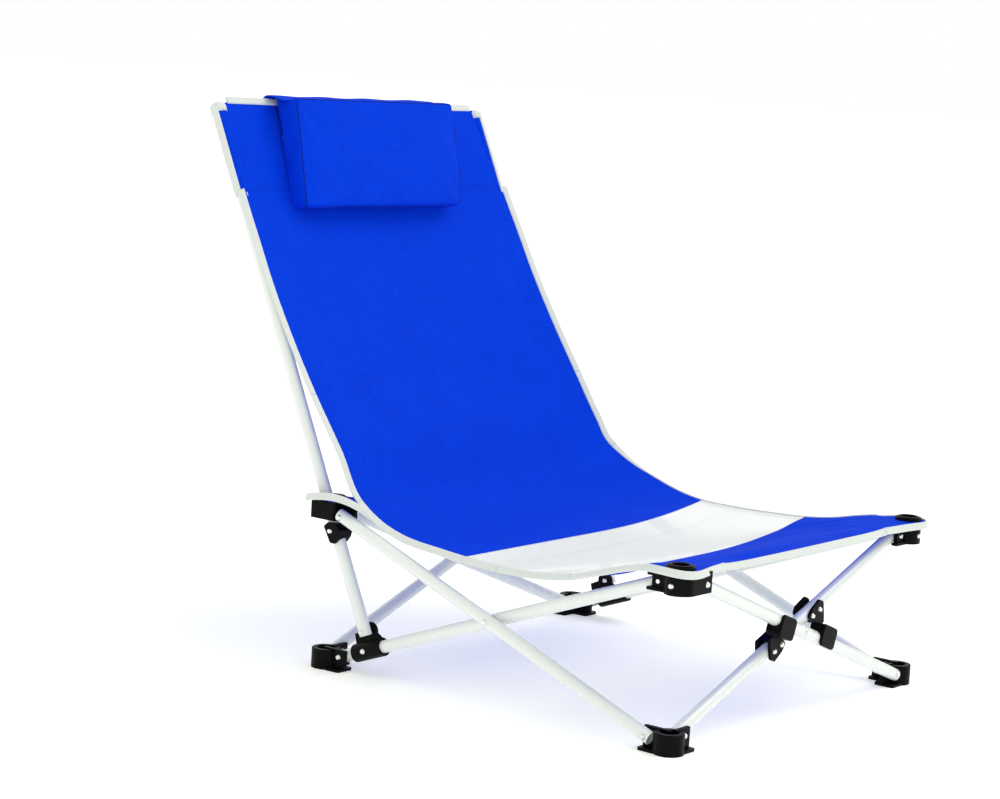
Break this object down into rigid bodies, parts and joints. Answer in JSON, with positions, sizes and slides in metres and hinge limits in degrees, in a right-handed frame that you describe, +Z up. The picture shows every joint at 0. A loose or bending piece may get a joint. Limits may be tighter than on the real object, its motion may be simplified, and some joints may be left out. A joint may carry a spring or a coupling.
{
  "type": "folding beach chair",
  "caption": "Low folding beach chair: white scissor tubes on a square plan, black moulded corners, blue sling with a white mesh band, and a padded head pillow.",
  "frame": {"origin": "on the floor, in the middle of the square that the four feet stand on", "axes": "+Z up, -Y the way the sitter faces, +X the sitter's left"},
  "size_m": [0.568, 0.7826, 0.7004],
  "materials": {
    "white_tube": "gloss white powder coat on steel tube",
    "black_moulding": "satin black moulded plastic",
    "zinc_steel": "bright zinc-plated rivets and screws",
    "blue_fabric": "bright blue woven polyester with white binding",
    "white_mesh": "white open polyester mesh",
    "white_binding": "white ribbed binding tape with stitched edges"
  },
  "bodies": {
    "rear_right_foot": {"rear_right_foot": "black_moulding", "rear_right_foot_rivets": "zinc_steel"},
    "rear_right_hub": {"rear_right_hub": "black_moulding", "rear_right_hub_rivets": "zinc_steel", "rear_right_ring": "black_moulding", "rear_right_corner_patch": "blue_fabric"},
    "front_right_foot": {"front_right_foot": "black_moulding", "front_right_foot_rivets": "zinc_steel"},
    "front_right_hub": {"front_right_hub": "black_moulding", "front_right_hub_rivets": "zinc_steel", "front_right_ring": "black_moulding", "front_right_corner_patch": "blue_fabric", "front_hem": "blue_fabric"},
    "front_left_foot": {"front_left_foot": "black_moulding", "front_left_foot_rivets": "zinc_steel"},
    "front_left_hub": {"front_left_hub": "black_moulding", "front_left_hub_rivets": "zinc_steel", "front_left_ring": "black_moulding", "front_left_corner_patch": "blue_fabric"},
    "rear_left_foot": {"rear_left_foot": "black_moulding", "rear_left_foot_rivets": "zinc_steel"},
    "rear_left_hub": {"rear_left_hub": "black_moulding", "rear_left_hub_rivets": "zinc_steel", "rear_left_ring": "black_moulding", "rear_left_corner_patch": "blue_fabric"},
    "right_inner_tube": {"right_inner_tube": "white_tube", "right_crossing_rivet": "zinc_steel", "right_post_bracket": "black_moulding", "right_bracket_fasteners": "zinc_steel"},
    "right_outer_tube": {"right_outer_tube": "white_tube"},
    "left_inner_tube": {"left_inner_tube": "white_tube", "left_crossing_rivet": "zinc_steel"},
    "left_outer_tube": {"left_outer_tube": "white_tube", "left_post_bracket": "black_moulding", "left_bracket_fasteners": "zinc_steel"},
    "front_inner_tube": {"front_inner_tube": "white_tube", "front_crossing_rivet": "zinc_steel", "front_right_stop_clip": "black_moulding", "front_left_stop_clip": "black_moulding", "stop_clip_screws": "zinc_steel"},
    "front_outer_tube": {"front_outer_tube": "white_tube"},
    "rear_inner_tube": {"rear_inner_tube": "white_tube", "rear_crossing_rivet": "zinc_steel"},
    "rear_outer_tube": {"rear_outer_tube": "white_tube"},
    "right_post": {"right_post": "white_tube", "right_post_collar": "black_moulding", "right_collar_screw": "zinc_steel", "right_post_pocket": "white_binding", "back_panel": "blue_fabric", "head_pillow": "blue_fabric"},
    "left_post": {"left_post": "white_tube", "left_post_collar": "black_moulding", "left_collar_screw": "zinc_steel", "left_post_pocket": "white_binding"},
    "lower_back": {"lower_back_panel": "blue_fabric"},
    "rear_seat": {"seat_panel": "blue_fabric", "rear_mesh_panel": "white_mesh"},
    "front_seat": {"front_mesh_panel": "white_mesh", "front_panel": "blue_fabric"}
  },
  "joints": [
    {"name": "fold", "type": "hinge", "parent": "rear_right_foot", "child": "right_inner_tube", "pos_m": [-0.2515, 0.235, 0.017], "axis": [-1, 0, 0], "range_deg": [0, 57.26], "deforming": ["back_panel", "lower_back_panel", "seat_panel", "rear_mesh_panel", "front_mesh_panel", "front_panel", "front_hem", "head_pillow"]},
    {"name": "right_crossing", "type": "hinge", "parent": "right_inner_tube", "child": "right_outer_tube", "pos_m": [-0.26, 0, 0.106], "axis": [-1, 0, 0], "range_deg": [-114.52, 0]},
    {"name": "rear_right_hub_pivot", "type": "hinge", "parent": "right_outer_tube", "child": "rear_right_hub", "pos_m": [-0.2685, 0.235, 0.195], "axis": [-1, 0, 0], "range_deg": [0, 57.27]},
    {"name": "front_right_foot_pivot", "type": "hinge", "parent": "right_outer_tube", "child": "front_right_foot", "pos_m": [-0.2685, -0.235, 0.017], "axis": [-1, 0, 0], "range_deg": [0, 57.27]},
    {"name": "front_right_hub_pivot", "type": "hinge", "parent": "right_inner_tube", "child": "front_right_hub", "pos_m": [-0.2515, -0.235, 0.195], "axis": [-1, 0, 0], "range_deg": [-57.27, 0]},
    {"name": "front_outer_pivot", "type": "hinge", "parent": "front_right_hub", "child": "front_outer_tube", "pos_m": [-0.235, -0.2685, 0.195], "axis": [0, 1, 0], "range_deg": [0, 57.27]},
    {"name": "front_crossing", "type": "hinge", "parent": "front_outer_tube", "child": "front_inner_tube", "pos_m": [0, -0.26, 0.106], "axis": [0, 1, 0], "range_deg": [-114.52, 0]},
    {"name": "front_left_hub_pivot", "type": "hinge", "parent": "front_inner_tube", "child": "front_left_hub", "pos_m": [0.235, -0.2515, 0.195], "axis": [0, 1, 0], "range_deg": [0, 57.27]},
    {"name": "front_left_foot_pivot", "type": "hinge", "parent": "front_outer_tube", "child": "front_left_foot", "pos_m": [0.235, -0.2685, 0.017], "axis": [0, 1, 0], "range_deg": [-57.27, 0]},
    {"name": "rear_outer_pivot", "type": "hinge", "parent": "rear_right_foot", "child": "rear_outer_tube", "pos_m": [-0.235, 0.2685, 0.017], "axis": [0, -1, 0], "range_deg": [0, 57.27]},
    {"name": "rear_crossing", "type": "hinge", "parent": "rear_outer_tube", "child": "rear_inner_tube", "pos_m": [0, 0.26, 0.106], "axis": [0, -1, 0], "range_deg": [-114.52, 0]},
    {"name": "rear_left_hub_pivot", "type": "hinge", "parent": "rear_outer_tube", "child": "rear_left_hub", "pos_m": [0.235, 0.2685, 0.195], "axis": [0, -1, 0], "range_deg": [-57.27, 0]},
    {"name": "rear_left_foot_pivot", "type": "hinge", "parent": "rear_inner_tube", "child": "rear_left_foot", "pos_m": [0.235, 0.2515, 0.017], "axis": [0, -1, 0], "range_deg": [0, 57.27]},
    {"name": "left_outer_pivot", "type": "hinge", "parent": "rear_left_foot", "child": "left_outer_tube", "pos_m": [0.2685, 0.235, 0.017], "axis": [-1, 0, 0], "range_deg": [0, 57.27]},
    {"name": "left_crossing", "type": "hinge", "parent": "left_outer_tube", "child": "left_inner_tube", "pos_m": [0.26, 0, 0.106], "axis": [-1, 0, 0], "range_deg": [-114.52, 0]},
    {"name": "right_post_pivot", "type": "hinge", "parent": "right_inner_tube", "child": "right_post", "pos_m": [-0.26, 0.1976, 0.056], "axis": [-1, 0, 0], "range_deg": [-80.6, 0]},
    {"name": "left_post_pivot", "type": "hinge", "parent": "left_outer_tube", "child": "left_post", "pos_m": [0.26, 0.1976, 0.056], "axis": [-1, 0, 0], "range_deg": [-80.6, 0]},
    {"name": "lower_back_fold", "type": "hinge", "parent": "right_post", "child": "lower_back", "pos_m": [0, 0.2997, 0.3388], "axis": [-1, 0, 0], "range_deg": [0, 162.67]},
    {"name": "rear_seat_fold", "type": "hinge", "parent": "rear_right_hub", "child": "rear_seat", "pos_m": [0, 0.212, 0.21], "axis": [1, 0, 0], "range_deg": [0, 77.13]},
    {"name": "front_seat_fold", "type": "hinge", "parent": "front_right_hub", "child": "front_seat", "pos_m": [0, -0.214, 0.203], "axis": [-1, 0, 0], "range_deg": [0, 68.54]}
  ],
  "couplings": [
    {"joint": "right_crossing", "follows": "fold", "ratio": -2},
    {"joint": "rear_right_hub_pivot", "follows": "fold", "ratio": 1},
    {"joint": "front_right_foot_pivot", "follows": "fold", "ratio": 1},
    {"joint": "front_right_hub_pivot", "follows": "fold", "ratio": -1},
    {"joint": "front_outer_pivot", "follows": "fold", "ratio": 1},
    {"joint": "front_crossing", "follows": "fold", "ratio": -2},
    {"joint": "front_left_hub_pivot", "follows": "fold", "ratio": 1},
    {"joint": "front_left_foot_pivot", "follows": "fold", "ratio": -1},
    {"joint": "rear_outer_pivot", "follows": "fold", "ratio": 1},
    {"joint": "rear_crossing", "follows": "fold", "ratio": -2},
    {"joint": "rear_left_hub_pivot", "follows": "fold", "ratio": -1},
    {"joint": "rear_left_foot_pivot", "follows": "fold", "ratio": 1},
    {"joint": "left_outer_pivot", "follows": "fold", "ratio": 1},
    {"joint": "left_crossing", "follows": "fold", "ratio": -2},
    {"joint": "right_post_pivot", "follows": "fold", "ratio": -1.4075},
    {"joint": "left_post_pivot", "follows": "fold", "ratio": -1.4075},
    {"joint": "lower_back_fold", "follows": "fold", "ratio": 2.8408},
    {"joint": "rear_seat_fold", "follows": "fold", "ratio": 1.3469},
    {"joint": "front_seat_fold", "follows": "fold", "ratio": 1.1968}
  ]
}
